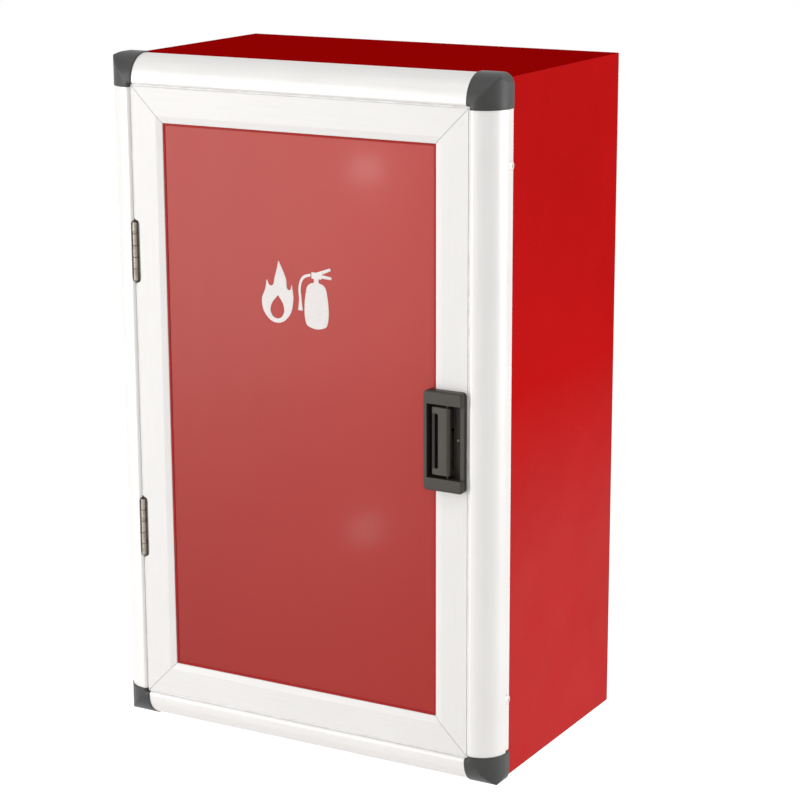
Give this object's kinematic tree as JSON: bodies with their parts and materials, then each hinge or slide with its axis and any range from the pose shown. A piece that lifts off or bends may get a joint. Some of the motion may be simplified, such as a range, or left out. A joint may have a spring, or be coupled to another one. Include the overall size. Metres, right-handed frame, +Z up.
{
  "type": "wall-hung fire extinguisher cabinet",
  "caption": "Red steel wall cabinet with a rounded white aluminium frame, dark corner caps and a framed red door on side hinges with a flush pull latch.",
  "frame": {"origin": "centre of the back panel's outer face, on the wall plane", "axes": "+X right as seen from in front, +Y into the wall, +Z up; the door faces -Y"},
  "size_m": [0.4116, 0.2605, 0.6516],
  "materials": {
    "red_steel": "gloss powder coat",
    "white_aluminium": "satin white anodised",
    "red_panel": "gloss painted sheet",
    "dark_plastic": "moulded, fine satin",
    "seal_foam": "closed-cell foam strip",
    "hinge_steel": "plated"
  },
  "bodies": {
    "cabinet": {"back_panel": "red_steel", "left_side": "red_steel", "right_side": "red_steel", "top_panel": "red_steel", "bottom_panel": "red_steel", "frame_top": "white_aluminium", "frame_bottom": "white_aluminium", "frame_left": "white_aluminium", "frame_right": "white_aluminium", "corner_cap_bottom_left": "dark_plastic", "corner_cap_bottom_right": "dark_plastic", "corner_cap_top_left": "dark_plastic", "corner_cap_top_right": "dark_plastic", "door_seal": "seal_foam", "upper_hinge_frame_leaf": "hinge_steel", "lower_hinge_frame_leaf": "hinge_steel", "upper_hinge_pin": "hinge_steel", "lower_hinge_pin": "hinge_steel"},
    "door": {"door_stile_left": "white_aluminium", "door_stile_right": "white_aluminium", "door_rail_top": "white_aluminium", "door_rail_bottom": "white_aluminium", "door_panel": "red_panel", "upper_hinge_door_leaf": "hinge_steel", "lower_hinge_door_leaf": "hinge_steel", "lock_housing": "dark_plastic", "lever_pin": "hinge_steel"},
    "lever": {"lock_lever": "dark_plastic"}
  },
  "joints": [
    {"name": "door_hinge", "type": "hinge", "parent": "cabinet", "child": "door", "pos_m": [-0.177, -0.252, 0], "axis": [0, 0, -1], "range_deg": [0, 115]},
    {"name": "lever_pull", "type": "hinge", "parent": "door", "child": "lever", "pos_m": [0.1587, -0.2561, 0], "axis": [0, 0, 1], "range_deg": [0, 30], "stiffness_Nm_per_rad": 0.15}
  ]
}
